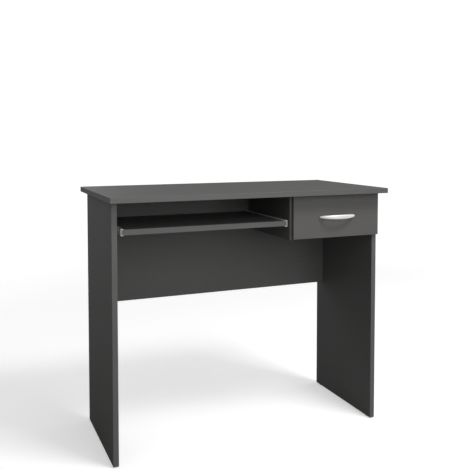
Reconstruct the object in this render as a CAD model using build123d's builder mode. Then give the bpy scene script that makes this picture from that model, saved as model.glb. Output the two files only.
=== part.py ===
from build123d import *
import math
import os

# A computer desk with a pull-out keyboard tray on the left and one drawer on the right.
# All sizes are in millimetres. The origin is on the floor under the middle of the tabletop.
# +X is to the right and +Y to the back for a person sitting at the desk, and +Z is up.

os.makedirs("parts", exist_ok=True)

# ---- Driving dimensions ---------------------------------------------------------------

DESK_WIDTH = 900.0
DESK_DEPTH = 450.0
DESK_HEIGHT = 770.0
BOARD = 16.0                # carcass boards and the tray
THIN_BOARD = 12.0           # drawer front, sides and back
BAND = 0.8                  # glued edge bands
GLIDE_HEIGHT = 3.0
TOP_SIDE_OVERHANG = 12.5
TOP_FRONT_OVERHANG = 46.5
TOP_BACK_OVERHANG = 50.0
MODESTY_HEIGHT = 357.5
MODESTY_SETBACK = 90.3      # tabletop's back edge to the modesty panel's front face
DIVIDER_HEIGHT = 140.0
DRAWER_BAY_WIDTH = 286.3
BAND_ARRIS = 0.5            # softened long edges of the bands
BAND_JOINT = 0.02           # hairline between two strips at a corner

TRAY_TOP_Z = 675.5
TRAY_DEPTH = 300.0
TRAY_PROUD = 1.9            # the tray's front edge ahead of the side panels
TRAY_EDGE_CLEARANCE = 0.8   # the tray board's side edge to the channel's web
CHANNEL_WALL = 1.4
CHANNEL_FLANGE = 7.5
TRAY_RAIL_THICKNESS = 10.0  # wall to channel
TRAY_RAIL_LENGTH = 278.0
TRAY_RAIL_SETBACK = 26.0    # the tray rails' front ends behind the side panels' front edges
TRAY_TRAVEL = 195.0
BALL_RADIUS = 1.4
BALLS_PER_ROW = 5
BALL_PITCH = 14.0

FRONT_LEFT_LAP = 6.6        # divider edge left showing beside the drawer front
FRONT_RIGHT_LAP = 1.5       # right panel edge left showing
FRONT_TOP_GAP = 3.0
FRONT_BOTTOM_LAP = 3.0
FRONT_GAP = 0.8             # drawer front to the panel edges behind it
BOX_SIDE_HEIGHT = 90.0
BOX_DEPTH = 280.0
BOX_BOTTOM_THICKNESS = 3.0
DRAWER_RAIL_THICKNESS = 12.5
DRAWER_RAIL_LENGTH = 250.0
DRAWER_TRAVEL = 200.0
DRAWER_RAIL_SETBACK = 2.0
ROLLERS_APART_OPEN = 30.0   # between the two axles of a side with the drawer fully out
AXLE_FROM_RAIL_END = 10.0
CABINET_RAIL_RISE = 24.0    # the cabinet rails' lowest face above the divider's bottom edge
BOX_DROP = 2.0              # the box's lower edge below that face
BOX_FLOOR_RISE = 7.0        # underside of the drawer bottom above the box's lower edge
BOX_GROOVE = 6.0            # how far the bottom is let into its grooves
SHEET = 1.2                 # folded steel of the drawer rails
CABINET_ROLLER_RADIUS = 7.0
DRAWER_ROLLER_RADIUS = 8.8

HANDLE_LENGTH = 130.0
HANDLE_HEIGHT = 14.0
HANDLE_THICKNESS = 5.0
HANDLE_PROJECTION = 26.0
HANDLE_SCREW_SPACING = 96.0
HANDLE_DROP = 1.0           # below the middle of the drawer front

FIT = 0.05                  # radial play of dowels, bolts and screws in their holes

# ---- Places worked out from them ------------------------------------------------------

top_under = DESK_HEIGHT - BOARD
side_out = DESK_WIDTH / 2 - TOP_SIDE_OVERHANG
side_in = side_out - BOARD
side_front = -DESK_DEPTH / 2 + TOP_FRONT_OVERHANG
side_back = DESK_DEPTH / 2 - TOP_BACK_OVERHANG
modesty_front = DESK_DEPTH / 2 - MODESTY_SETBACK
modesty_back = modesty_front + BOARD
modesty_bottom = top_under - MODESTY_HEIGHT
divider_right = side_in - DRAWER_BAY_WIDTH
divider_left = divider_right - BOARD
divider_bottom = top_under - DIVIDER_HEIGHT

tray_front = side_front - TRAY_PROUD
tray_back = tray_front + TRAY_DEPTH
tray_mid_y = (tray_front + tray_back) / 2
tray_mid_z = TRAY_TOP_Z - BOARD / 2
tray_edge_gap = TRAY_RAIL_THICKNESS + CHANNEL_WALL + TRAY_EDGE_CLEARANCE
tray_left = -side_in + tray_edge_gap
tray_right = divider_left - tray_edge_gap
tray_rail_front = side_front + TRAY_RAIL_SETBACK
tray_rail_mid = tray_rail_front + TRAY_RAIL_LENGTH / 2
inner_rail_length = tray_back - tray_rail_front
inner_rail_mid = (tray_rail_front + tray_back) / 2

front_left = divider_left + FRONT_LEFT_LAP
front_right = side_out - FRONT_RIGHT_LAP
front_bottom = divider_bottom + FRONT_BOTTOM_LAP
front_top = top_under - FRONT_TOP_GAP
front_back_y = side_front - FRONT_GAP
front_face_y = front_back_y - THIN_BOARD

rail_floor_z = divider_bottom + CABINET_RAIL_RISE
box_bottom = rail_floor_z - BOX_DROP
box_top = box_bottom + BOX_SIDE_HEIGHT
box_left = divider_right + DRAWER_RAIL_THICKNESS
box_right = side_in - DRAWER_RAIL_THICKNESS
box_back = front_back_y + BOX_DEPTH
box_floor = box_bottom + BOX_FLOOR_RISE
drawer_rail_front = side_front + DRAWER_RAIL_SETBACK
drawer_rail_back = drawer_rail_front + DRAWER_RAIL_LENGTH
drawer_rail_mid = drawer_rail_front + DRAWER_RAIL_LENGTH / 2
cabinet_roller_y = drawer_rail_front + AXLE_FROM_RAIL_END
drawer_roller_y = cabinet_roller_y + DRAWER_TRAVEL + ROLLERS_APART_OPEN

handle_x = (front_left + front_right) / 2
handle_z = (front_bottom + front_top) / 2 - HANDLE_DROP

LOW = (Align.CENTER, Align.CENTER, Align.MIN)
HIGH = (Align.CENTER, Align.CENTER, Align.MAX)


# ---- Shapes used in several pieces ----------------------------------------------------


def block(x_limits, y_limits, z_limits, mode=Mode.ADD):
    """A rectangular block between the given limits."""
    limits = (x_limits, y_limits, z_limits)
    middle = tuple((low + high) / 2 for low, high in limits)
    with Locations(middle):
        Box(*[high - low for low, high in limits], mode=mode)


def rod(places, radius, start, end, mode=Mode.ADD):
    """Round rods along the local Z of each place, from start to end."""
    with Locations(*[place.offset(start) for place in places]):
        Cylinder(radius, end - start, align=LOW, mode=mode)


def flat_screws(places, length, shank, head, play=0.0, mode=Mode.ADD):
    """Countersunk screws driven along -Z of each place, heads flush with the place.

    With play and Mode.SUBTRACT this is the hole that such a screw leaves."""
    with Locations(*places):
        Cone(shank + play, head + play, head - shank, align=HIGH, mode=mode)
        Cylinder(shank + play, length + play, align=HIGH, mode=mode)


RECESS_SIZE = 3.2
RECESS_DEPTH = 0.9
RECESS_ARM = 0.25           # width of the cross's arms, as a share of its size


def cross_recesses(places, size=RECESS_SIZE, depth=RECESS_DEPTH):
    """The cross-shaped driver recess in the heads of screws at the given places."""
    arm = size * RECESS_ARM
    with Locations(*places):
        Box(size, arm, depth, align=HIGH, mode=Mode.SUBTRACT)
        Box(arm, size, depth, align=HIGH, mode=Mode.SUBTRACT)


def band(x_limits, y_limits, z_limits, outward):
    """An edge band between the given limits, the long edges of its outer face softened."""
    block(x_limits, y_limits, z_limits)
    outer_face = faces(Select.LAST).sort_by(Axis((0, 0, 0), outward))[-1]
    fillet(outer_face.edges().sort_by(SortBy.LENGTH)[-2:], BAND_ARRIS)


def facing(point, normal, toward):
    """The plane at point that faces along normal, with its X axis pointing toward a joint."""
    return Plane(origin=point, x_dir=toward, z_dir=normal)


def across(wall, inward, y, z):
    """An upright plane across a rail: X runs from the wall inwards, and Y runs up from z."""
    return Plane(origin=(wall, y, z), x_dir=(inward, 0, 0), z_dir=(0, -inward, 0))


# ---- Knock-down fittings: where they sit ----------------------------------------------

CAM_RADIUS = 7.5
CAM_DEPTH = 12.5
CAM_SETBACK = 34.0
BOLT_RADIUS = 3.5
BOLT_THREAD_RADIUS = 2.5
BOLT_THREAD_LENGTH = 10.5
DOWEL_RADIUS = 4.0
DOWEL_IN_FACE = 10.0
DOWEL_IN_EDGE = 20.0
FRONT_CAM_INSET = 45.0      # behind the side panels' front edges
BACK_CAM_INSET = 35.0       # ahead of the modesty panel
CAM_TO_DOWEL = 32.0
MODESTY_CAM_RISE = 45.0     # the lower end cams, above the modesty panel's bottom edge
MODESTY_CAM_DROP = 70.0     # the upper end cams, below the tabletop
MODESTY_CAMS_X = (-250.0, -20.0)
MODESTY_DOWELS_X = (-135.0, 250.0)
DIVIDER_DOWEL_RISE = 70.0   # above the divider's bottom edge
DIVIDER_SCREW_RISES = (30.0, 110.0)
DOWEL_HOLE_PLAY = 1.0       # how much deeper the holes are than what sits in them
CAM_POCKET_PLAY = 0.3
THREAD_HOLE_PLAY = 0.5
BOLT_HOLE_PLAY = 0.5        # radial, around the bolts in the boards

UP = (0, 0, 1)
DOWN = (0, 0, -1)
BACK = (0, 1, 0)
FRONT = (0, -1, 0)
LEFT = (-1, 0, 0)
RIGHT = (1, 0, 0)

cam_z = top_under - CAM_SETBACK
cam_rows = (side_front + FRONT_CAM_INSET, modesty_front - BACK_CAM_INSET)
dowel_rows = (cam_rows[0] + CAM_TO_DOWEL, cam_rows[1] - CAM_TO_DOWEL)
modesty_mid = modesty_front + BOARD / 2
divider_mid = divider_left + BOARD / 2

left_cams = [facing((-side_in, y, cam_z), RIGHT, UP) for y in cam_rows]
right_cams = [facing((side_in, y, cam_z), LEFT, UP) for y in cam_rows]
divider_cams = [facing((divider_right, cam_rows[0], cam_z), RIGHT, UP)]
modesty_top_cams = [facing((x, modesty_back, cam_z), BACK, UP) for x in MODESTY_CAMS_X]
modesty_heights = (modesty_bottom + MODESTY_CAM_RISE, top_under - MODESTY_CAM_DROP)
modesty_left_cams = [
    facing((-side_in + CAM_SETBACK, modesty_back, z), BACK, LEFT) for z in modesty_heights
]
modesty_right_cams = [
    facing((side_in - CAM_SETBACK, modesty_back, z), BACK, RIGHT) for z in modesty_heights
]
modesty_cams = modesty_top_cams + modesty_left_cams + modesty_right_cams
cams_to_top = left_cams + right_cams + divider_cams + modesty_top_cams
all_cams = left_cams + right_cams + divider_cams + modesty_cams


def bolt_lines(cams, board=BOARD):
    """For each cam, the bolt's own place: on the cam's axis, Z running out along the bolt."""
    return [
        Plane(origin=cam.from_local_coords((0, 0, -board / 2)), x_dir=cam.z_dir, z_dir=cam.x_dir)
        for cam in cams
    ]


# Each dowel's place lies on the joint, with Z pointing into the face that receives it.
left_dowels = [Plane(origin=(-side_in - BOARD / 2, y, top_under), z_dir=UP) for y in dowel_rows]
right_dowels = [Plane(origin=(side_in + BOARD / 2, y, top_under), z_dir=UP) for y in dowel_rows]
divider_top_dowels = [Plane(origin=(divider_mid, y, top_under), z_dir=UP) for y in dowel_rows]
modesty_top_dowels = [
    Plane(origin=(x, modesty_mid, top_under), z_dir=UP) for x in MODESTY_DOWELS_X
]
modesty_end_z = (modesty_heights[0] + modesty_heights[1]) / 2
modesty_left_dowels = [Plane(origin=(-side_in, modesty_mid, modesty_end_z), z_dir=LEFT)]
modesty_right_dowels = [Plane(origin=(side_in, modesty_mid, modesty_end_z), z_dir=RIGHT)]
divider_back_dowels = [
    Plane(origin=(divider_mid, modesty_front, divider_bottom + DIVIDER_DOWEL_RISE), z_dir=BACK)
]
dowels_to_top = left_dowels + right_dowels + divider_top_dowels + modesty_top_dowels
dowels_to_sides = modesty_left_dowels + modesty_right_dowels
all_dowels = dowels_to_top + dowels_to_sides + divider_back_dowels

DIVIDER_SCREW_LENGTH = 50.0
DIVIDER_SCREW_RADIUS = 2.5
DIVIDER_SCREW_HEAD = 4.8
DIVIDER_RECESS_SIZE = 4.6
DIVIDER_RECESS_DEPTH = 1.4
divider_screws_at = [
    Plane(origin=(divider_mid, modesty_back, divider_bottom + rise), z_dir=BACK)
    for rise in DIVIDER_SCREW_RISES
]


def dowel_holes(dowels, into_face):
    """The half of each dowel hole that is in the receiving face, or the half in the edge."""
    if into_face:
        reach = DOWEL_IN_FACE + DOWEL_HOLE_PLAY
        rod(dowels, DOWEL_RADIUS + FIT, 0, reach, mode=Mode.SUBTRACT)
    else:
        reach = DOWEL_IN_EDGE + DOWEL_HOLE_PLAY
        rod(dowels, DOWEL_RADIUS + FIT, -reach, 0, mode=Mode.SUBTRACT)


def cam_pockets(cams):
    """Round pockets for the cams, and the bolt holes from them to the board's edge."""
    rod(cams, CAM_RADIUS + FIT, -CAM_DEPTH - CAM_POCKET_PLAY, 0, mode=Mode.SUBTRACT)
    rod(bolt_lines(cams), BOLT_RADIUS + BOLT_HOLE_PLAY, 0, CAM_SETBACK, mode=Mode.SUBTRACT)


def bolt_threads(cams):
    """Holes that take the bolts' threads, in the board that the cams pull against."""
    reach = CAM_SETBACK + BOLT_THREAD_LENGTH + THREAD_HOLE_PLAY
    rod(bolt_lines(cams), BOLT_THREAD_RADIUS + FIT, CAM_SETBACK, reach, mode=Mode.SUBTRACT)


# ---- Rail screws: where they sit ------------------------------------------------------

RAIL_SCREW_LENGTH = 13.0
RAIL_SCREW_RADIUS = 1.7
RAIL_SCREW_HEAD = 3.2
TRAY_RAIL_SHEET = 1.0
TRAY_WALL_SCREWS = (-120.0, 0.0, 120.0)     # places along each rail, about its middle
TRAY_BOARD_SCREWS = (-110.0, 0.0, 110.0)
DRAWER_WALL_SCREWS = (-90.0, 0.0, 90.0)
DRAWER_BOX_SCREWS = (-100.0, 0.0, 70.0)
CABINET_SCREW_RISE = 10.4                   # above the cabinet rails' lowest face
BOX_SCREW_RISE = 12.0

tray_walls = {"left": (-side_in, 1), "right": (divider_left, -1)}
drawer_walls = {"left": (divider_right, 1), "right": (side_in, -1)}


def rail_screws_at(wall, inward, depth, rows, z):
    """Screw places on a rail, depth from the wall, heads towards the moving part."""
    return [
        Plane(origin=(wall + inward * depth, y, z), z_dir=(inward, 0, 0)) for y in rows
    ]


tray_rows = [tray_rail_mid + dy for dy in TRAY_WALL_SCREWS]
tray_board_rows = [inner_rail_mid + dy for dy in TRAY_BOARD_SCREWS]
drawer_rows = [drawer_rail_mid + dy for dy in DRAWER_WALL_SCREWS]
drawer_box_rows = [drawer_rail_mid + dy for dy in DRAWER_BOX_SCREWS]
cabinet_screw_z = rail_floor_z + CABINET_SCREW_RISE
box_screw_z = rail_floor_z + BOX_SCREW_RISE
rail_screw_hole = dict(
    length=RAIL_SCREW_LENGTH,
    shank=RAIL_SCREW_RADIUS,
    head=RAIL_SCREW_HEAD,
    play=FIT,
    mode=Mode.SUBTRACT,
)
outer_rail_screws = {
    side: rail_screws_at(wall, inward, TRAY_RAIL_SHEET, tray_rows, tray_mid_z)
    for side, (wall, inward) in tray_walls.items()
}
inner_rail_screws = {
    side: rail_screws_at(wall, inward, TRAY_RAIL_THICKNESS - TRAY_RAIL_SHEET, tray_board_rows,
                         tray_mid_z)
    for side, (wall, inward) in tray_walls.items()
}
cabinet_rail_screws = {
    side: rail_screws_at(wall, inward, SHEET, drawer_rows, cabinet_screw_z)
    for side, (wall, inward) in drawer_walls.items()
}
box_rail_screws = {
    side: rail_screws_at(wall, inward, DRAWER_RAIL_THICKNESS - SHEET, drawer_box_rows,
                         box_screw_z)
    for side, (wall, inward) in drawer_walls.items()
}


def turned(places):
    """The same places facing the other way."""
    return [Plane(origin=place.origin, x_dir=place.x_dir, z_dir=-place.z_dir) for place in places]


# ---- Tabletop -------------------------------------------------------------------------

half_w = DESK_WIDTH / 2
half_d = DESK_DEPTH / 2

with BuildPart() as tabletop:
    with BuildSketch(Plane.XY.offset(top_under)):
        Rectangle(DESK_WIDTH - 2 * BAND, DESK_DEPTH - 2 * BAND)
    extrude(amount=BOARD)
    bolt_threads(cams_to_top)
    dowel_holes(dowels_to_top, into_face=True)
tabletop.part.label = "tabletop"
export_step(tabletop.part, "parts/tabletop.step")

# Four strips: the long ones run the full width and cover the ends of the short ones.
with BuildPart() as tabletop_edge_bands:
    inner_d = half_d - BAND
    inner_w = half_w - BAND
    end_limits = (-inner_d + BAND_JOINT, inner_d - BAND_JOINT)
    band((-half_w, half_w), (-half_d, -inner_d), (top_under, DESK_HEIGHT), FRONT)
    band((-half_w, half_w), (inner_d, half_d), (top_under, DESK_HEIGHT), BACK)
    band((-half_w, -inner_w), end_limits, (top_under, DESK_HEIGHT), LEFT)
    band((inner_w, half_w), end_limits, (top_under, DESK_HEIGHT), RIGHT)
tabletop_edge_bands.part.label = "tabletop_edge_bands"
export_step(tabletop_edge_bands.part, "parts/tabletop_edge_bands.step")

# ---- Side panels ----------------------------------------------------------------------

GLIDE_RADIUS = 7.0
GLIDE_NAIL_RADIUS = 1.2
GLIDE_NAIL_LENGTH = 14.0
GLIDE_BEVEL = 0.8
GLIDE_INSET = 25.0          # from the panels' front and back edges
glide_rows = (side_front + GLIDE_INSET, side_back - GLIDE_INSET)
glides_at = [
    Plane(origin=(x, y, GLIDE_HEIGHT), z_dir=UP)
    for x in (-side_in - BOARD / 2, side_in + BOARD / 2)
    for y in glide_rows
]

side_cams = {"left": left_cams, "right": right_cams}
side_dowels = {"left": left_dowels, "right": right_dowels}
side_end_dowels = {"left": modesty_left_dowels, "right": modesty_right_dowels}
side_end_cams = {"left": modesty_left_cams, "right": modesty_right_cams}

for side, sign in (("left", -1), ("right", 1)):
    panel_x = sorted((sign * side_in, sign * side_out))
    panel_z = (GLIDE_HEIGHT, top_under)
    with BuildPart() as side_panel:
        with BuildSketch(Plane.XY.offset(GLIDE_HEIGHT)):
            with Locations((sum(panel_x) / 2, (side_front + side_back) / 2)):
                Rectangle(BOARD, side_back - side_front - 2 * BAND)
        extrude(amount=top_under - GLIDE_HEIGHT)
        cam_pockets(side_cams[side])
        dowel_holes(side_dowels[side], into_face=False)
        dowel_holes(side_end_dowels[side], into_face=True)
        bolt_threads(side_end_cams[side])
        rod(glides_at, GLIDE_NAIL_RADIUS + FIT, 0, GLIDE_NAIL_LENGTH + 1, mode=Mode.SUBTRACT)
        if side == "left":
            flat_screws(outer_rail_screws["left"], **rail_screw_hole)
        else:
            flat_screws(cabinet_rail_screws["right"], **rail_screw_hole)
    side_panel.part.label = f"{side}_side_panel"
    export_step(side_panel.part, f"parts/{side}_side_panel.step")

    with BuildPart() as panel_bands:
        band(panel_x, (side_front, side_front + BAND), panel_z, FRONT)
        band(panel_x, (side_back - BAND, side_back), panel_z, BACK)
    panel_bands.part.label = f"{side}_panel_edge_bands"
    export_step(panel_bands.part, f"parts/{side}_panel_edge_bands.step")

# Nail-on glides: a round plastic foot with a shallow chamfer, on a nail into the panel.
with BuildPart() as floor_glides:
    rod(glides_at, GLIDE_RADIUS, -GLIDE_HEIGHT, 0)
    chamfer(floor_glides.edges().filter_by(GeomType.CIRCLE).group_by(Axis.Z)[0], GLIDE_BEVEL)
    rod(glides_at, GLIDE_NAIL_RADIUS, 0, GLIDE_NAIL_LENGTH)
floor_glides.part.label = "floor_glides"
export_step(floor_glides.part, "parts/floor_glides.step")

# ---- Modesty panel --------------------------------------------------------------------

with BuildPart() as modesty_panel:
    with BuildSketch(Plane.XY.offset(modesty_bottom + BAND)):
        with Locations((0, modesty_mid)):
            Rectangle(2 * side_in, BOARD)
    extrude(amount=MODESTY_HEIGHT - BAND)
    cam_pockets(modesty_cams)
    dowel_holes(modesty_top_dowels + dowels_to_sides, into_face=False)
    dowel_holes(divider_back_dowels, into_face=True)
    flat_screws(
        divider_screws_at,
        DIVIDER_SCREW_LENGTH,
        DIVIDER_SCREW_RADIUS,
        DIVIDER_SCREW_HEAD,
        FIT,
        Mode.SUBTRACT,
    )
modesty_panel.part.label = "modesty_panel"
export_step(modesty_panel.part, "parts/modesty_panel.step")

with BuildPart() as modesty_edge_band:
    band(
        (-side_in, side_in),
        (modesty_front, modesty_back),
        (modesty_bottom, modesty_bottom + BAND),
        DOWN,
    )
modesty_edge_band.part.label = "modesty_edge_band"
export_step(modesty_edge_band.part, "parts/modesty_edge_band.step")

# ---- Divider between the tray bay and the drawer bay ----------------------------------

with BuildPart() as drawer_divider:
    with BuildSketch(Plane.XY.offset(divider_bottom + BAND)):
        with Locations((divider_mid, (side_front + BAND + modesty_front) / 2)):
            Rectangle(BOARD, modesty_front - side_front - BAND)
    extrude(amount=DIVIDER_HEIGHT - BAND)
    cam_pockets(divider_cams)
    dowel_holes(divider_top_dowels, into_face=False)
    dowel_holes(divider_back_dowels, into_face=False)
    flat_screws(
        divider_screws_at,
        DIVIDER_SCREW_LENGTH,
        DIVIDER_SCREW_RADIUS,
        DIVIDER_SCREW_HEAD,
        FIT,
        Mode.SUBTRACT,
    )
    flat_screws(outer_rail_screws["right"], **rail_screw_hole)
    flat_screws(cabinet_rail_screws["left"], **rail_screw_hole)
drawer_divider.part.label = "drawer_divider"
export_step(drawer_divider.part, "parts/drawer_divider.step")

with BuildPart() as divider_edge_bands:
    divider_x = (divider_left, divider_right)
    band(divider_x, (side_front, side_front + BAND), (divider_bottom, top_under), FRONT)
    band(
        divider_x,
        (side_front + BAND + BAND_JOINT, modesty_front),
        (divider_bottom, divider_bottom + BAND),
        DOWN,
    )
divider_edge_bands.part.label = "divider_edge_bands"
export_step(divider_edge_bands.part, "parts/divider_edge_bands.step")

# ---- Knock-down fittings --------------------------------------------------------------

SLOT_SPAN = 1.2             # length of the driver slots, in cam radii
SLOT_WIDTH = 1.4
SLOT_DEPTH = 1.6
BOLT_HEAD_START = 2.0       # from the cam's axis
BOLT_HEAD_LENGTH = 2.5
BOLT_HEAD_STEP = 0.2        # the head's radius under the shank's
BOLT_NECK_RADIUS = 1.9
BOLT_SHANK_GAP = 1.5        # from the cam's rim to the thick shank
SHANK_SHORT = 0.5           # the thick shank stops this far before the joint
HOLLOW_PLAY = 0.3           # radial, around the bolt inside cams and drawer sides


def cam_shapes(cams, radius, depth, board):
    """Cam housings: a disc with a driver slot, hollowed where the bolt's head goes in."""
    rod(cams, radius, -depth, 0)
    with Locations(*cams):
        Box(radius * SLOT_SPAN, SLOT_WIDTH, SLOT_DEPTH, align=HIGH, mode=Mode.SUBTRACT)
        Box(SLOT_WIDTH, radius * SLOT_SPAN, SLOT_DEPTH, align=HIGH, mode=Mode.SUBTRACT)
    hollow = BOLT_RADIUS + HOLLOW_PLAY
    rod(bolt_lines(cams, board), hollow, 0, radius + 1, mode=Mode.SUBTRACT)


def bolt_shapes(cams, radius, setback, board, thread):
    """Bolts: a head in the cam, a thin neck, a thick shank to the joint, then the thread."""
    lines = bolt_lines(cams, board)
    neck_start = BOLT_HEAD_START + BOLT_HEAD_LENGTH
    shank_start = radius + BOLT_SHANK_GAP
    shank_end = setback - SHANK_SHORT
    rod(lines, BOLT_RADIUS - BOLT_HEAD_STEP, BOLT_HEAD_START, neck_start)
    rod(lines, BOLT_NECK_RADIUS, neck_start, shank_start)
    rod(lines, BOLT_RADIUS, shank_start, shank_end)
    rod(lines, BOLT_THREAD_RADIUS, shank_end, setback + thread)


with BuildPart() as cam_locks:
    cam_shapes(all_cams, CAM_RADIUS, CAM_DEPTH, BOARD)
cam_locks.part.label = "cam_locks"
export_step(cam_locks.part, "parts/cam_locks.step")

with BuildPart() as cam_bolts:
    bolt_shapes(all_cams, CAM_RADIUS, CAM_SETBACK, BOARD, BOLT_THREAD_LENGTH)
cam_bolts.part.label = "cam_bolts"
export_step(cam_bolts.part, "parts/cam_bolts.step")

# Domed plastic caps that clip over the cams.
CAP_RADIUS = 8.8
CAP_THICKNESS = 1.2
CAP_DOME = 0.6
CAP_BEVEL = 1.2
with BuildPart() as cam_caps:
    rod(all_cams, CAP_RADIUS, 0, CAP_THICKNESS)
    with Locations(*[cam.offset(CAP_THICKNESS) for cam in all_cams]):
        Cone(CAP_RADIUS, CAP_RADIUS - CAP_BEVEL, CAP_DOME, align=LOW)
cam_caps.part.label = "cam_caps"
export_step(cam_caps.part, "parts/cam_caps.step")

with BuildPart() as carcass_dowels:
    rod(all_dowels, DOWEL_RADIUS, -DOWEL_IN_EDGE, DOWEL_IN_FACE)
carcass_dowels.part.label = "carcass_dowels"
export_step(carcass_dowels.part, "parts/carcass_dowels.step")

with BuildPart() as divider_screws:
    flat_screws(
        divider_screws_at, DIVIDER_SCREW_LENGTH, DIVIDER_SCREW_RADIUS, DIVIDER_SCREW_HEAD
    )
    cross_recesses(divider_screws_at, DIVIDER_RECESS_SIZE, DIVIDER_RECESS_DEPTH)
divider_screws.part.label = "divider_screws"
export_step(divider_screws.part, "parts/divider_screws.step")

# ---- Keyboard tray --------------------------------------------------------------------

with BuildPart() as keyboard_tray:
    with BuildSketch(Plane.XY.offset(TRAY_TOP_Z - BOARD)):
        with Locations(((tray_left + tray_right) / 2, tray_mid_y)):
            Rectangle(tray_right - tray_left, TRAY_DEPTH - 2 * BAND)
    extrude(amount=BOARD)
    for side in ("left", "right"):
        flat_screws(turned(inner_rail_screws[side]), **rail_screw_hole)
keyboard_tray.part.label = "keyboard_tray"
export_step(keyboard_tray.part, "parts/keyboard_tray.step")

with BuildPart() as tray_edge_bands:
    tray_x = (tray_left, tray_right)
    tray_z = (TRAY_TOP_Z - BOARD, TRAY_TOP_Z)
    band(tray_x, (tray_front, tray_front + BAND), tray_z, FRONT)
    band(tray_x, (tray_back - BAND, tray_back), tray_z, BACK)
tray_edge_bands.part.label = "tray_edge_bands"
export_step(tray_edge_bands.part, "parts/tray_edge_bands.step")

# ---- Tray rails -----------------------------------------------------------------------
# Each side has a U-channel around the tray's edge, screwed through the slim inner rail of
# a ball slide into the board. The outer rail is screwed to the wall. Between the two rails
# a cage holds two rows of balls. Profiles are drawn from the wall (X) and about the slide's
# middle height (Y).

CHANNEL_HEIGHT = BOARD + 2 * CHANNEL_WALL
OUTER_RAIL_HEIGHT = 17.0
OUTER_RAIL_DEPTH = 7.0
OUTER_RAIL_LIP = 1.5
INNER_RAIL_HEIGHT = 8.4
INNER_RAIL_REACH = 2.8      # its flanges' tips, from the wall
CAGE_SHEET = 0.6
CAGE_BACK = 2.4             # the cage's web behind the ball centres, towards the wall
CAGE_DEPTH = 4.0
CAGE_LENGTH = 72.0
CAGE_CLEARANCE = 2.0        # from the cage to the outer rail's front end, tray fully out
CHANNEL_CORNER = 1.4
BALL_DEPTH = 4.0            # ball centres, from the wall
BALL_PLAY = 0.15            # radial, in the cage's holes
BALL_HOLE_LENGTH = 2.0      # of each hole's cutter, through the cage's sheet
ball_height = (OUTER_RAIL_HEIGHT / 2 - TRAY_RAIL_SHEET + INNER_RAIL_HEIGHT / 2) / 2
cage_front = tray_rail_front + TRAY_TRAVEL / 2 + CAGE_CLEARANCE
cage_mid = cage_front + CAGE_LENGTH / 2
ball_rows = [cage_mid + (n - (BALLS_PER_ROW - 1) / 2) * BALL_PITCH for n in range(BALLS_PER_ROW)]

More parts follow.
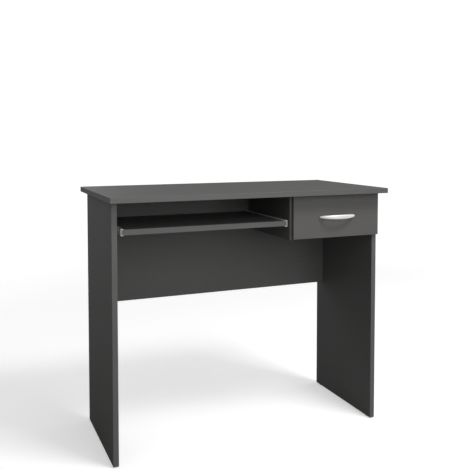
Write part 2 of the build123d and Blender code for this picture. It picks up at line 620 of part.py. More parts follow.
for side, (wall, inward) in tray_walls.items():
    outer_h = OUTER_RAIL_HEIGHT / 2
    inner_h = INNER_RAIL_HEIGHT / 2
    web = TRAY_RAIL_SHEET
    lip = OUTER_RAIL_DEPTH - web
    rail_plane = across(wall, inward, tray_rail_mid, tray_mid_z)
    inner_plane = across(wall, inward, inner_rail_mid, tray_mid_z)
    tray_plane = across(wall, inward, tray_mid_y, tray_mid_z)
    cage_plane = across(wall, inward, cage_mid, tray_mid_z)
    balls_at = [
        (wall + inward * BALL_DEPTH, y, tray_mid_z + up * ball_height)
        for up in (-1, 1)
        for y in ball_rows
    ]

    with BuildPart() as outer_rail:
        with BuildSketch(rail_plane):
            with BuildLine():
                Polyline(
                    (0, -outer_h),
                    (OUTER_RAIL_DEPTH, -outer_h),
                    (OUTER_RAIL_DEPTH, -outer_h + web + OUTER_RAIL_LIP),
                    (lip, -outer_h + web + OUTER_RAIL_LIP),
                    (lip, -outer_h + web),
                    (web, -outer_h + web),
                    (web, outer_h - web),
                    (lip, outer_h - web),
                    (lip, outer_h - web - OUTER_RAIL_LIP),
                    (OUTER_RAIL_DEPTH, outer_h - web - OUTER_RAIL_LIP),
                    (OUTER_RAIL_DEPTH, outer_h),
                    (0, outer_h),
                    close=True,
                )
            make_face()
        extrude(amount=TRAY_RAIL_LENGTH / 2, both=True)
        flat_screws(outer_rail_screws[side], **rail_screw_hole)
    outer_rail.part.label = f"{side}_tray_outer_rail"
    export_step(outer_rail.part, f"parts/{side}_tray_outer_rail.step")

    with BuildPart() as inner_rail:
        with BuildSketch(inner_plane):
            with BuildLine():
                Polyline(
                    (TRAY_RAIL_THICKNESS, -inner_h),
                    (TRAY_RAIL_THICKNESS, inner_h),
                    (INNER_RAIL_REACH, inner_h),
                    (INNER_RAIL_REACH, inner_h - web),
                    (TRAY_RAIL_THICKNESS - web, inner_h - web),
                    (TRAY_RAIL_THICKNESS - web, -inner_h + web),
                    (INNER_RAIL_REACH, -inner_h + web),
                    (INNER_RAIL_REACH, -inner_h),
                    close=True,
                )
            make_face()
        extrude(amount=inner_rail_length / 2, both=True)
        flat_screws(turned(inner_rail_screws[side]), **rail_screw_hole)
    inner_rail.part.label = f"{side}_tray_inner_rail"
    export_step(inner_rail.part, f"parts/{side}_tray_inner_rail.step")

    with BuildPart() as tray_channel:
        with BuildSketch(tray_plane) as channel_profile:
            with Locations((TRAY_RAIL_THICKNESS, 0)):
                Rectangle(CHANNEL_FLANGE, CHANNEL_HEIGHT, align=(Align.MIN, Align.CENTER))
            wall_side = channel_profile.vertices().group_by(Axis.X)[0 if inward > 0 else -1]
            fillet(wall_side, CHANNEL_CORNER)
            with Locations((TRAY_RAIL_THICKNESS + CHANNEL_WALL, 0)):
                Rectangle(
                    CHANNEL_FLANGE,
                    BOARD,
                    align=(Align.MIN, Align.CENTER),
                    mode=Mode.SUBTRACT,
                )
        extrude(amount=TRAY_DEPTH / 2, both=True)
        flat_screws(turned(inner_rail_screws[side]), **rail_screw_hole)
    tray_channel.part.label = f"{side}_tray_channel"
    export_step(tray_channel.part, f"parts/{side}_tray_channel.step")

    with BuildPart() as ball_cage:
        with BuildSketch(cage_plane):
            cage_h = ball_height + CAGE_SHEET / 2
            with Locations((BALL_DEPTH - CAGE_BACK, 0)):
                Rectangle(CAGE_DEPTH, 2 * cage_h, align=(Align.MIN, Align.CENTER))
            with Locations((BALL_DEPTH - CAGE_BACK + CAGE_SHEET, 0)):
                Rectangle(
                    CAGE_DEPTH,
                    2 * (cage_h - CAGE_SHEET),
                    align=(Align.MIN, Align.CENTER),
                    mode=Mode.SUBTRACT,
                )
        extrude(amount=CAGE_LENGTH / 2, both=True)
        with Locations(*balls_at):
            Cylinder(BALL_RADIUS + BALL_PLAY, BALL_HOLE_LENGTH, mode=Mode.SUBTRACT)
    ball_cage.part.label = f"{side}_ball_cage"
    export_step(ball_cage.part, f"parts/{side}_ball_cage.step")

    with BuildPart() as rail_balls:
        with Locations(*balls_at):
            Sphere(BALL_RADIUS)
    rail_balls.part.label = f"{side}_rail_balls"
    export_step(rail_balls.part, f"parts/{side}_rail_balls.step")

with BuildPart() as tray_outer_rail_screws:
    for side in ("left", "right"):
        flat_screws(outer_rail_screws[side], RAIL_SCREW_LENGTH, RAIL_SCREW_RADIUS, RAIL_SCREW_HEAD)
        cross_recesses(outer_rail_screws[side])
tray_outer_rail_screws.part.label = "tray_outer_rail_screws"
export_step(tray_outer_rail_screws.part, "parts/tray_outer_rail_screws.step")

with BuildPart() as tray_inner_rail_screws:
    for side in ("left", "right"):
        places = turned(inner_rail_screws[side])
        flat_screws(places, RAIL_SCREW_LENGTH, RAIL_SCREW_RADIUS, RAIL_SCREW_HEAD)
        cross_recesses(places)
tray_inner_rail_screws.part.label = "tray_inner_rail_screws"
export_step(tray_inner_rail_screws.part, "parts/tray_inner_rail_screws.step")

# ---- Drawer box -----------------------------------------------------------------------

BOX_CAM_RADIUS = 5.0
BOX_CAM_DEPTH = 9.5
BOX_CAM_SETBACK = 24.0
BOX_THREAD = 8.0
SMALL_DOWEL_RADIUS = 3.0
SMALL_DOWEL_IN_FACE = 7.0
SMALL_DOWEL_IN_EDGE = 15.0
BACK_SCREW_LENGTH = 38.0
BACK_SCREW_RADIUS = 1.8
BACK_SCREW_HEAD = 3.6
BOTTOM_SCREW_LENGTH = 16.0
HANDLE_SCREW_RADIUS = 2.0
BOX_CAM_RISE = 4.0          # above the middle of the box's height
BOX_DOWEL_RISE = 26.0       # above the box's lower edge
BOX_DOWEL_DROP = 14.0       # below the box's upper edge
BACK_SCREW_RISE = 30.0
BACK_SCREW_DROP = 15.0
BOTTOM_SCREW_INSET = 50.0   # from the box's sides
GROOVE_PLAY = 0.05          # above and below the bottom
GROOVE_END_PLAY = 0.1
FRONT_HOLE_PLAY = 0.5       # in depth, in the drawer front
HANDLE_HOLE_PLAY = 0.25     # radial

side_inner = {"left": box_left + THIN_BOARD, "right": box_right - THIN_BOARD}
box_side_x = {"left": (box_left, side_inner["left"]), "right": (side_inner["right"], box_right)}
box_signs = {"left": 1, "right": -1}
box_cam_z = (box_bottom + box_top) / 2 + BOX_CAM_RISE
box_cams = {
    side: [facing((side_inner[side], front_back_y + BOX_CAM_SETBACK, box_cam_z),
                  (box_signs[side], 0, 0), FRONT)]
    for side in ("left", "right")
}
box_dowels = {
    side: [
        Plane(origin=(sum(box_side_x[side]) / 2, front_back_y, z), z_dir=FRONT)
        for z in (box_bottom + BOX_DOWEL_RISE, box_top - BOX_DOWEL_DROP)
    ]
    for side in ("left", "right")
}
back_panel_y = (box_back - THIN_BOARD, box_back)
back_screw_heights = (box_bottom + BACK_SCREW_RISE, box_top - BACK_SCREW_DROP)
back_screws = {
    "left": [
        Plane(origin=(box_left, sum(back_panel_y) / 2, z), z_dir=LEFT)
        for z in back_screw_heights
    ],
    "right": [
        Plane(origin=(box_right, sum(back_panel_y) / 2, z), z_dir=RIGHT)
        for z in back_screw_heights
    ],
}
bottom_screws_x = (
    box_left + BOTTOM_SCREW_INSET,
    (box_left + box_right) / 2,
    box_right - BOTTOM_SCREW_INSET,
)
bottom_screws_at = [
    Plane(origin=(x, sum(back_panel_y) / 2, box_floor), z_dir=DOWN) for x in bottom_screws_x
]
handle_screws_at = [
    Plane(origin=(handle_x + dx, front_back_y, handle_z), z_dir=BACK)
    for dx in (-HANDLE_SCREW_SPACING / 2, HANDLE_SCREW_SPACING / 2)
]
groove_reach = BOX_GROOVE + GROOVE_END_PLAY
groove_z = (box_floor - GROOVE_PLAY, box_floor + BOX_BOTTOM_THICKNESS + GROOVE_PLAY)
groove_x = (side_inner["left"] - groove_reach, side_inner["right"] + groove_reach)
groove_front = front_back_y - groove_reach
bottom_front = front_back_y - BOX_GROOVE

with BuildPart() as drawer_front:
    with BuildSketch(Plane.XY.offset(front_bottom + BAND)):
        with Locations(((front_left + front_right) / 2, (front_face_y + front_back_y) / 2)):
            Rectangle(front_right - front_left - 2 * BAND, THIN_BOARD)
    extrude(amount=front_top - front_bottom - 2 * BAND)
    block(groove_x, (groove_front, front_back_y), groove_z, mode=Mode.SUBTRACT)
    for side in ("left", "right"):
        lines = bolt_lines(box_cams[side], THIN_BOARD)
        reach = BOX_CAM_SETBACK + BOX_THREAD + FRONT_HOLE_PLAY
        rod(lines, BOLT_THREAD_RADIUS + FIT, BOX_CAM_SETBACK, reach, mode=Mode.SUBTRACT)
        hole = SMALL_DOWEL_IN_FACE + FRONT_HOLE_PLAY
        rod(box_dowels[side], SMALL_DOWEL_RADIUS + FIT, 0, hole, mode=Mode.SUBTRACT)
    handle_hole = HANDLE_SCREW_RADIUS + HANDLE_HOLE_PLAY
    rod(handle_screws_at, handle_hole, -THIN_BOARD, 0, mode=Mode.SUBTRACT)
drawer_front.part.label = "drawer_front"
export_step(drawer_front.part, "parts/drawer_front.step")

with BuildPart() as drawer_front_edge_bands:
    front_y = (front_face_y, front_back_y)
    front_x = (front_left, front_right)
    upright_z = (front_bottom + BAND + BAND_JOINT, front_top - BAND - BAND_JOINT)
    band(front_x, front_y, (front_bottom, front_bottom + BAND), DOWN)
    band(front_x, front_y, (front_top - BAND, front_top), UP)
    band((front_left, front_left + BAND), front_y, upright_z, LEFT)
    band((front_right - BAND, front_right), front_y, upright_z, RIGHT)
drawer_front_edge_bands.part.label = "drawer_front_edge_bands"
export_step(drawer_front_edge_bands.part, "parts/drawer_front_edge_bands.step")

for side in ("left", "right"):
    with BuildPart() as drawer_side:
        with BuildSketch(Plane.XY.offset(box_bottom)):
            with Locations((sum(box_side_x[side]) / 2, (front_back_y + box_back) / 2)):
                Rectangle(THIN_BOARD, box_back - front_back_y)
        extrude(amount=BOX_SIDE_HEIGHT)
        block(groove_x, (front_back_y, box_back), groove_z, mode=Mode.SUBTRACT)
        cams = box_cams[side]
        pocket = BOX_CAM_DEPTH + CAM_POCKET_PLAY
        rod(cams, BOX_CAM_RADIUS + FIT, -pocket, 0, mode=Mode.SUBTRACT)
        lines = bolt_lines(cams, THIN_BOARD)
        rod(lines, BOLT_RADIUS + HOLLOW_PLAY, 0, BOX_CAM_SETBACK, mode=Mode.SUBTRACT)
        hole = SMALL_DOWEL_IN_EDGE + DOWEL_HOLE_PLAY
        rod(box_dowels[side], SMALL_DOWEL_RADIUS + FIT, -hole, 0, mode=Mode.SUBTRACT)
        flat_screws(
            back_screws[side],
            BACK_SCREW_LENGTH,
            BACK_SCREW_RADIUS,
            BACK_SCREW_HEAD,
            FIT,
            Mode.SUBTRACT,
        )
        flat_screws(turned(box_rail_screws[side]), **rail_screw_hole)
    drawer_side.part.label = f"drawer_{side}_side"
    export_step(drawer_side.part, f"parts/drawer_{side}_side.step")

back_panel_z = (box_floor + BOX_BOTTOM_THICKNESS, box_top)
with BuildPart() as drawer_back:
    block((side_inner["left"], side_inner["right"]), back_panel_y, back_panel_z)
    for side in ("left", "right"):
        flat_screws(
            back_screws[side],
            BACK_SCREW_LENGTH,
            BACK_SCREW_RADIUS,
            BACK_SCREW_HEAD,
            FIT,
            Mode.SUBTRACT,
        )
    flat_screws(
        bottom_screws_at,
        BOTTOM_SCREW_LENGTH,
        RAIL_SCREW_RADIUS,
        RAIL_SCREW_HEAD,
        FIT,
        Mode.SUBTRACT,
    )
drawer_back.part.label = "drawer_back"
export_step(drawer_back.part, "parts/drawer_back.step")

with BuildPart() as drawer_bottom:
    block(
        (side_inner["left"] - BOX_GROOVE, side_inner["right"] + BOX_GROOVE),
        (bottom_front, box_back),
        (box_floor, box_floor + BOX_BOTTOM_THICKNESS),
    )
    flat_screws(
        bottom_screws_at,
        BOTTOM_SCREW_LENGTH,
        RAIL_SCREW_RADIUS,
        RAIL_SCREW_HEAD,
        FIT,
        Mode.SUBTRACT,
    )
drawer_bottom.part.label = "drawer_bottom"
export_step(drawer_bottom.part, "parts/drawer_bottom.step")

with BuildPart() as drawer_cam_locks:
    for side in ("left", "right"):
        cam_shapes(box_cams[side], BOX_CAM_RADIUS, BOX_CAM_DEPTH, THIN_BOARD)
drawer_cam_locks.part.label = "drawer_cam_locks"
export_step(drawer_cam_locks.part, "parts/drawer_cam_locks.step")

with BuildPart() as drawer_cam_bolts:
    for side in ("left", "right"):
        bolt_shapes(box_cams[side], BOX_CAM_RADIUS, BOX_CAM_SETBACK, THIN_BOARD, BOX_THREAD)
drawer_cam_bolts.part.label = "drawer_cam_bolts"
export_step(drawer_cam_bolts.part, "parts/drawer_cam_bolts.step")

with BuildPart() as drawer_dowels:
    for side in ("left", "right"):
        rod(box_dowels[side], SMALL_DOWEL_RADIUS, -SMALL_DOWEL_IN_EDGE, SMALL_DOWEL_IN_FACE)
drawer_dowels.part.label = "drawer_dowels"
export_step(drawer_dowels.part, "parts/drawer_dowels.step")

with BuildPart() as drawer_back_screws:
    for side in ("left", "right"):
        flat_screws(back_screws[side], BACK_SCREW_LENGTH, BACK_SCREW_RADIUS, BACK_SCREW_HEAD)
        cross_recesses(back_screws[side])
drawer_back_screws.part.label = "drawer_back_screws"
export_step(drawer_back_screws.part, "parts/drawer_back_screws.step")

with BuildPart() as drawer_bottom_screws:
    flat_screws(bottom_screws_at, BOTTOM_SCREW_LENGTH, RAIL_SCREW_RADIUS, RAIL_SCREW_HEAD)
    cross_recesses(bottom_screws_at)
drawer_bottom_screws.part.label = "drawer_bottom_screws"
export_step(drawer_bottom_screws.part, "parts/drawer_bottom_screws.step")

# ---- Bow handle -----------------------------------------------------------------------
# The bow is an arc in plan whose ends come back to the drawer front. Its upright oval
# section is tallest in the middle and shrinks to nothing towards the rounded tips.

HANDLE_SECTIONS = 13
HANDLE_TIP = 0.985          # the last section's place, in half lengths from the middle
HANDLE_POST_RADIUS = 3.6
PAN_HEAD_RADIUS = 3.8
PAN_HEAD_HEIGHT = 2.2
PAN_HEAD_BEVEL = 0.7
PAN_RECESS_DEPTH = 1.2
POST_BORE_GAP = 1.0         # from the end of each post's bore to the bow's centre line
HANDLE_SCREW_GAP = 2.0      # from each screw's end to the bow's centre line
bow_half = HANDLE_LENGTH / 2
bow_rise = HANDLE_PROJECTION - HANDLE_THICKNESS
bow_radius = (bow_half**2 + bow_rise**2) / (2 * bow_rise)
bow_angle = math.degrees(math.asin(bow_half / bow_radius))
bow_centre_y = front_face_y - HANDLE_THICKNESS / 2 - bow_rise + bow_radius

with BuildPart() as drawer_handle:
    for step in range(HANDLE_SECTIONS):
        along = math.sin(math.pi * (step / (HANDLE_SECTIONS - 1) - 0.5)) * HANDLE_TIP
        turn = math.radians(bow_angle * along)
        fullness = math.sqrt(1 - along**2)
        station = Plane(
            origin=(
                handle_x + bow_radius * math.sin(turn),
                bow_centre_y - bow_radius * math.cos(turn),
                handle_z,
            ),
            x_dir=(0, 0, 1),
            z_dir=(math.cos(turn), math.sin(turn), 0),
        )
        with BuildSketch(station):
            Ellipse(HANDLE_HEIGHT / 2 * fullness, HANDLE_THICKNESS / 2 * math.sqrt(fullness))
    loft()
    post_reach = bow_radius - math.sqrt(bow_radius**2 - (HANDLE_SCREW_SPACING / 2) ** 2)
    post_length = HANDLE_PROJECTION - HANDLE_THICKNESS / 2 - post_reach
    posts_at = [Plane(origin=(place.origin.X, front_face_y, handle_z), z_dir=FRONT)
                for place in handle_screws_at]
    rod(posts_at, HANDLE_POST_RADIUS, 0, post_length)
    bore = post_length - POST_BORE_GAP
    rod(posts_at, HANDLE_SCREW_RADIUS + FIT, 0, bore, mode=Mode.SUBTRACT)
drawer_handle.part.label = "drawer_handle"
export_step(drawer_handle.part, "parts/drawer_handle.step")

# Pan-head machine screws, driven from inside the drawer.
with BuildPart() as handle_screws:
    rod(handle_screws_at, PAN_HEAD_RADIUS, 0, PAN_HEAD_HEIGHT)
    head_rims = handle_screws.edges().filter_by(GeomType.CIRCLE).group_by(Axis.Y)[-1]
    chamfer(head_rims, PAN_HEAD_BEVEL)
    shank = THIN_BOARD + post_length - HANDLE_SCREW_GAP
    rod(handle_screws_at, HANDLE_SCREW_RADIUS, -shank, 0)
    head_tops = [place.offset(PAN_HEAD_HEIGHT) for place in handle_screws_at]
    cross_recesses(head_tops, depth=PAN_RECESS_DEPTH)
handle_screws.part.label = "handle_screws"
export_step(handle_screws.part, "parts/handle_screws.step")

# ---- Drawer rails and rollers ---------------------------------------------------------
# Each side has a C-shaped cabinet rail with a roller at its front end, and a drawer rail
# under the box's side with a roller at its back end. The drawer rail's outer flange runs
# on the cabinet roller, and the drawer roller runs inside the cabinet rail.

CABINET_RAIL_HEIGHT = 20.8
CABINET_RAIL_DEPTH = 10.3
RAIL_LIP = 3.0
RUNNER_HEIGHT = 16.0        # underside of the running flange, above the cabinet rail's base
RUNNER_TIP = 3.5            # its tip, from the wall
BOX_FLANGE = 12.2
ROLLER_PLAY = 0.3
AXLE_RADIUS = 2.5
AXLE_HEAD_RADIUS = 3.8
AXLE_HEAD = 0.8
AXLE_HEAD_GAP = 0.2         # between a roller's end and the axle's head
AXLE_PLAY = 0.08            # radial, in the rollers' bores
ROLLER_BEVEL = 0.5
ROLLER_WINDOW = 2.5         # the running flange stops this far before the drawer roller
CABINET_ROLLER_ENDS = (2.5, 8.5)    # the rollers' two ends, from the wall
DRAWER_ROLLER_ENDS = (2.9, 8.5)
cabinet_axle_z = rail_floor_z + RUNNER_HEIGHT - ROLLER_PLAY - CABINET_ROLLER_RADIUS
drawer_axle_z = rail_floor_z + SHEET + ROLLER_PLAY + DRAWER_ROLLER_RADIUS
drawer_web = DRAWER_RAIL_THICKNESS - SHEET

axles_at = {}
for side, (wall, inward) in drawer_walls.items():
    axles_at[side] = (
        Plane(origin=(wall, cabinet_roller_y, cabinet_axle_z), z_dir=(inward, 0, 0)),
        Plane(origin=(wall, drawer_roller_y, drawer_axle_z), z_dir=(inward, 0, 0)),
    )
    cabinet_axle, drawer_axle = axles_at[side]
    rail_plane = across(wall, inward, drawer_rail_mid, rail_floor_z)

    with BuildPart() as cabinet_rail:
        with BuildSketch(rail_plane):
            with BuildLine():
                Polyline(
                    (0, 0),
                    (CABINET_RAIL_DEPTH, 0),
                    (CABINET_RAIL_DEPTH, RAIL_LIP),
                    (CABINET_RAIL_DEPTH - SHEET, RAIL_LIP),
                    (CABINET_RAIL_DEPTH - SHEET, SHEET),
                    (SHEET, SHEET),
                    (SHEET, CABINET_RAIL_HEIGHT - SHEET),
                    (CABINET_RAIL_DEPTH - 1, CABINET_RAIL_HEIGHT - SHEET),
                    (CABINET_RAIL_DEPTH - 1, CABINET_RAIL_HEIGHT),
                    (0, CABINET_RAIL_HEIGHT),
                    close=True,
                )
            make_face()
        extrude(amount=DRAWER_RAIL_LENGTH / 2, both=True)
        flat_screws(cabinet_rail_screws[side], **rail_screw_hole)
        rod([cabinet_axle], AXLE_RADIUS + FIT, 0, SHEET, mode=Mode.SUBTRACT)
    cabinet_rail.part.label = f"{side}_drawer_cabinet_rail"
    export_step(cabinet_rail.part, f"parts/{side}_drawer_cabinet_rail.step")

    with BuildPart() as drawer_rail:
        with BuildSketch(rail_plane):
            with BuildLine():
                Polyline(
                    (drawer_web, box_bottom - rail_floor_z - SHEET),
                    (DRAWER_RAIL_THICKNESS + BOX_FLANGE, box_bottom - rail_floor_z - SHEET),
                    (DRAWER_RAIL_THICKNESS + BOX_FLANGE, box_bottom - rail_floor_z),
                    (DRAWER_RAIL_THICKNESS, box_bottom - rail_floor_z),
                    (DRAWER_RAIL_THICKNESS, RUNNER_HEIGHT + SHEET),
                    (RUNNER_TIP, RUNNER_HEIGHT + SHEET),
                    (RUNNER_TIP, RUNNER_HEIGHT),
                    (drawer_web, RUNNER_HEIGHT),
                    close=True,
                )
            make_face()
        extrude(amount=DRAWER_RAIL_LENGTH / 2, both=True)
        cut_x = sorted((wall, wall + inward * drawer_web))
        cut_z = (rail_floor_z, rail_floor_z + CABINET_RAIL_HEIGHT)
        cut_y = (drawer_roller_y - DRAWER_ROLLER_RADIUS - ROLLER_WINDOW, drawer_rail_back)
        block(cut_x, cut_y, cut_z, mode=Mode.SUBTRACT)
        flat_screws(turned(box_rail_screws[side]), **rail_screw_hole)
        web_u = (drawer_web, DRAWER_RAIL_THICKNESS)
        rod([drawer_axle], AXLE_RADIUS + FIT, *web_u, mode=Mode.SUBTRACT)
    drawer_rail.part.label = f"{side}_drawer_rail"
    export_step(drawer_rail.part, f"parts/{side}_drawer_rail.step")

    rollers = (
        ("cabinet", cabinet_axle, CABINET_ROLLER_RADIUS, CABINET_ROLLER_ENDS),
        ("drawer", drawer_axle, DRAWER_ROLLER_RADIUS, DRAWER_ROLLER_ENDS),
    )
    for owner, axle, radius, (start, end) in rollers:
        with BuildPart() as roller:
            rod([axle], radius, start, end)
            chamfer(roller.edges().filter_by(GeomType.CIRCLE), ROLLER_BEVEL)
            rod([axle], AXLE_RADIUS + AXLE_PLAY, start, end, mode=Mode.SUBTRACT)
        roller.part.label = f"{side}_{owner}_roller"
        export_step(roller.part, f"parts/{side}_{owner}_roller.step")

with BuildPart() as cabinet_axles:
    for side in ("left", "right"):
        axle = axles_at[side][0]
        head = CABINET_ROLLER_ENDS[1] + AXLE_HEAD_GAP
        rod([axle], AXLE_RADIUS, 0, head)
        rod([axle], AXLE_HEAD_RADIUS, head, head + AXLE_HEAD)
cabinet_axles.part.label = "cabinet_roller_axles"
export_step(cabinet_axles.part, "parts/cabinet_roller_axles.step")

with BuildPart() as drawer_axles:
    for side in ("left", "right"):
        axle = axles_at[side][1]
        head = DRAWER_ROLLER_ENDS[0] - AXLE_HEAD_GAP
        rod([axle], AXLE_RADIUS, head, DRAWER_RAIL_THICKNESS)
        rod([axle], AXLE_HEAD_RADIUS, head - AXLE_HEAD, head)
drawer_axles.part.label = "drawer_roller_axles"
export_step(drawer_axles.part, "parts/drawer_roller_axles.step")

with BuildPart() as cabinet_rail_screw_set:
    for side in ("left", "right"):
        places = cabinet_rail_screws[side]
        flat_screws(places, RAIL_SCREW_LENGTH, RAIL_SCREW_RADIUS, RAIL_SCREW_HEAD)
        cross_recesses(places)
cabinet_rail_screw_set.part.label = "drawer_cabinet_rail_screws"
export_step(cabinet_rail_screw_set.part, "parts/drawer_cabinet_rail_screws.step")

with BuildPart() as box_rail_screw_set:
    for side in ("left", "right"):
        places = turned(box_rail_screws[side])
        flat_screws(places, RAIL_SCREW_LENGTH, RAIL_SCREW_RADIUS, RAIL_SCREW_HEAD)
        cross_recesses(places)
box_rail_screw_set.part.label = "drawer_rail_screws"
export_step(box_rail_screw_set.part, "parts/drawer_rail_screws.step")
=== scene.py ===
import math

import bmesh
import bpy
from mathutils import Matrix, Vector


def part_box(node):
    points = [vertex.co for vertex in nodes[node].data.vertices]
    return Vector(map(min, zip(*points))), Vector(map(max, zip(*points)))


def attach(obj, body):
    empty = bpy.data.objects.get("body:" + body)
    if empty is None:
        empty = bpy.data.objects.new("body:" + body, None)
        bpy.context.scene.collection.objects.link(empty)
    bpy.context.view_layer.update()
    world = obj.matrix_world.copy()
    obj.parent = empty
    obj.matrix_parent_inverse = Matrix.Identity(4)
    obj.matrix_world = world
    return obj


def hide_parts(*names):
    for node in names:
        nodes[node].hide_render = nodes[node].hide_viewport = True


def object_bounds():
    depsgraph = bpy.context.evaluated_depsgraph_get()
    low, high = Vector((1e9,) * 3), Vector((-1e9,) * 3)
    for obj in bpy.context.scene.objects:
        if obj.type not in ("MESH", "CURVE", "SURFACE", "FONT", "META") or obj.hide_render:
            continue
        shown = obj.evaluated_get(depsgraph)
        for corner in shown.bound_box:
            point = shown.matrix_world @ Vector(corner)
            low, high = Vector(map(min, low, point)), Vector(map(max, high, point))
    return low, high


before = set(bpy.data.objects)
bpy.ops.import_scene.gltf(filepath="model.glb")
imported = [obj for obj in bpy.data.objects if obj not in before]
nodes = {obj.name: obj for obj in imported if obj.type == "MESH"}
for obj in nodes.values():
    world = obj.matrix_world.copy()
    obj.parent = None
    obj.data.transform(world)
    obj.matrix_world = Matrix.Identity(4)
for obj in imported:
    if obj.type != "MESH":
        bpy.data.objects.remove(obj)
cad_low, cad_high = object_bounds()

# A computer desk in anthracite melamine, with a keyboard tray on ball slides at the left and
# a drawer on roller slides at the right. Lengths are in metres unless a comment says otherwise.

MM = 0.001
FLOOR_Z = cad_low.z

# ---- Node helpers -----------------------------------------------------------------------

WHITE = (1.0, 1.0, 1.0)
COLOUR_A, COLOUR_B = 6, 7       # the colour sockets of a Mix node, which share their names
MIXED_COLOUR = 2                # with its number and vector sockets


def opaque(colour):
    """An (r, g, b) with full alpha. A socket stays as it is."""
    return (*colour, 1.0) if isinstance(colour, tuple) else colour


class Maker:
    """A new material with a Principled shader, and short calls for adding nodes to it."""

    def __init__(self, name, **values):
        self.material = bpy.data.materials.new(name)
        self.material.use_nodes = True
        self.tree = self.material.node_tree
        self.shader = self.tree.nodes["Principled BSDF"]
        for socket, value in values.items():
            self.shader.inputs[socket.replace("_", " ")].default_value = value
        self.place = self.node("ShaderNodeTexCoord").outputs["Object"]

    def node(self, kind, settings=None, **inputs):
        """Adds a node. settings are its own options, and inputs are sockets or numbers."""
        made = self.tree.nodes.new(kind)
        for key, value in (settings or {}).items():
            setattr(made, key, value)
        for key, value in inputs.items():
            self.feed(made.inputs[key.replace("_", " ")], value)
        return made

    def feed(self, socket, value):
        """Links a socket to another one, or gives it a constant."""
        if isinstance(value, bpy.types.NodeSocket):
            self.tree.links.new(value, socket)
        else:
            socket.default_value = value

    def stretched(self, scale):
        """The object's own coordinates, in metres, multiplied by scale."""
        return self.node("ShaderNodeMapping", Vector=self.place, Scale=scale).outputs[0]

    def noise(self, vector, scale, detail=2.0, roughness=0.5):
        """Fractal noise from 0 to 1."""
        made = self.node("ShaderNodeTexNoise", Vector=vector, Scale=scale, Detail=detail,
                         Roughness=roughness)
        return made.outputs["Fac"]

    def cells(self, vector, scale, feature="F1", output="Distance"):
        """Voronoi cells: the distance to each cell's middle, or another output."""
        made = self.node("ShaderNodeTexVoronoi", {"feature": feature}, Vector=vector, Scale=scale)
        return made.outputs[output]

    def span(self, value, given, wanted):
        """Maps the range given onto the range wanted, both (low, high), and holds the ends."""
        made = self.node("ShaderNodeMapRange", Value=value, From_Min=given[0], From_Max=given[1],
                         To_Min=wanted[0], To_Max=wanted[1])
        return made.outputs[0]

    def math(self, operation, a, b=0.0):
        """One arithmetic step."""
        made = self.node("ShaderNodeMath", {"operation": operation})
        self.feed(made.inputs[0], a)
        self.feed(made.inputs[1], b)
        return made.outputs[0]

    def weighted(self, *parts):
        """The sum of values times their weights, given as (value, weight)."""
        total = None
        for value, weight in parts:
            share = self.math("MULTIPLY", value, weight)
            total = share if total is None else self.math("ADD", total, share)
        return total

    def ramp(self, value, *stops):
        """Colours along value: stops are (position, (r, g, b))."""
        made = self.node("ShaderNodeValToRGB", Fac=value)
        elements = made.color_ramp.elements
        while len(elements) < len(stops):
            elements.new(0.5)
        for element, (position, colour) in zip(elements, stops):
            element.position = position
            element.color = opaque(colour)
        return made.outputs["Color"]

    def mix(self, share, first, second):
        """Blends two colours."""
        made = self.node("ShaderNodeMix", {"data_type": "RGBA"})
        self.feed(made.inputs["Factor"], share)
        self.feed(made.inputs[COLOUR_A], opaque(first))
        self.feed(made.inputs[COLOUR_B], opaque(second))
        return made.outputs[MIXED_COLOUR]

    def blend(self, share, first, second):
        """Blends two shaders."""
        made = self.node("ShaderNodeMixShader")
        for socket, value in zip(made.inputs, (share, first, second)):
            self.feed(socket, value)
        return made.outputs[0]

    def colour(self, socket):
        """Links the base colour."""
        self.feed(self.shader.inputs["Base Color"], socket)

    def roughness(self, socket):
        """Links the roughness."""
        self.feed(self.shader.inputs["Roughness"], socket)

    def bump(self, *layers):
        """Stacks height layers: (height, strength, distance in metres)."""
        normal = None
        for height, strength, distance in layers:
            made = self.node("ShaderNodeBump", Height=height, Strength=strength, Distance=distance)
            if normal is not None:
                self.tree.links.new(normal, made.inputs["Normal"])
            normal = made.outputs["Normal"]
        self.tree.links.new(normal, self.shader.inputs["Normal"])


def tinted(colour, factor):
    """The colour made lighter or darker."""
    return tuple(min(1.0, channel * factor) for channel in colour)


# ---- Materials --------------------------------------------------------------------------

ANTHRACITE = (0.1045, 0.1020, 0.0995)
BAND_ANTHRACITE = (0.1120, 0.1095, 0.1070)
DARK_CHIP = (0.20, 0.125, 0.065)
MIDDLE_CHIP = (0.38, 0.26, 0.145)
PALE_CHIP = (0.55, 0.41, 0.25)
CHIP_SHAPE = (1.0, 0.45, 1.0)   # chips are longer in Y
WEAVE_SHAPE = (1.0, 6.0, 6.0)   # and the foil's print is longer in X
RAW_ROUGHNESS = 0.9
DARK_FOIL = (0.112, 0.109, 0.106)
PALE_FOIL = (0.134, 0.130, 0.126)
DARK_CAST = (0.40, 0.40, 0.41)
PALE_CAST = (0.60, 0.60, 0.61)
DARK_BEECH = (0.48, 0.32, 0.18)
PALE_BEECH = (0.68, 0.50, 0.31)
DARK_LACQUER = (0.84, 0.83, 0.805)
PALE_LACQUER = (0.91, 0.90, 0.875)
DARK_FLOOR = (0.87, 0.87, 0.87)
PALE_FLOOR = (0.89, 0.89, 0.89)

# Figure is this much finer across the grain than along it.
FINER = 14.0
GRAIN = {"X": (1.0, FINER, FINER), "Y": (FINER, 1.0, FINER), "Z": (FINER, FINER, 1.0)}


